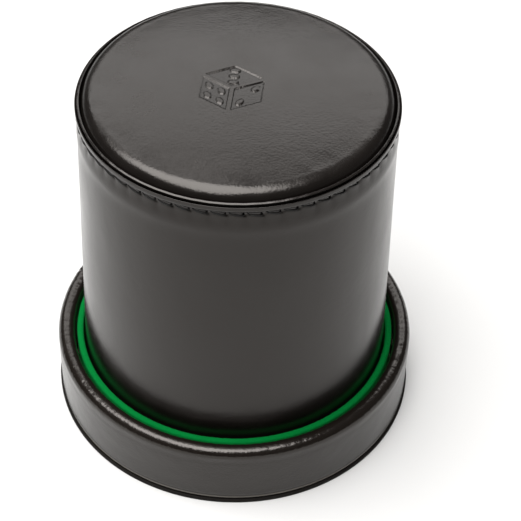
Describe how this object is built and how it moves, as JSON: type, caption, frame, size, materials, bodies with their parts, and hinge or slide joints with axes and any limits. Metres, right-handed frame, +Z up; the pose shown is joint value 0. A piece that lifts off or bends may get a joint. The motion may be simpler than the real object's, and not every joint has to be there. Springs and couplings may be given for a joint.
{
  "type": "leather dice cup",
  "caption": "Leather dice cup with a padded base, a sewn rim and a felt lining, standing mouth down in a shallow padded leather tray lined with felt.",
  "frame": {"origin": "centre of the tray's underside, on the surface it stands on", "axes": "+Z up along the cup's axis, from the tray to the padded base; -Y is the front"},
  "size_m": [0.105, 0.105, 0.1078],
  "materials": {
    "leather": "smooth black artificial leather, satin",
    "felt": "green wool felt",
    "board": "pressed grey board",
    "padding": "soft foam padding",
    "thread": "waxed black sewing thread"
  },
  "bodies": {
    "tray": {"tray_bottom_cover": "leather", "tray_floor_board": "board", "tray_floor_felt": "felt", "tray_wall_core": "board", "tray_rim_padding": "padding", "tray_wall_leather": "leather", "tray_liner_card": "board", "tray_liner_felt": "felt"},
    "cup": {"cup_wall_core": "board", "cup_wall_leather": "leather", "cup_mouth_facing": "leather", "cup_mouth_stitching": "thread", "cup_rim_facing": "leather", "cup_rim_stitching": "thread", "cup_lining_felt": "felt", "cup_floor_felt": "felt", "cup_floor_board": "board", "base_pad_board": "board", "base_pad_foam": "padding", "base_pad_leather": "leather"}
  },
  "joints": [
    {"name": "cup_lift", "type": "slide", "parent": "tray", "child": "cup", "axis": [0, 0, 1], "range_m": [0, 0.1]}
  ]
}
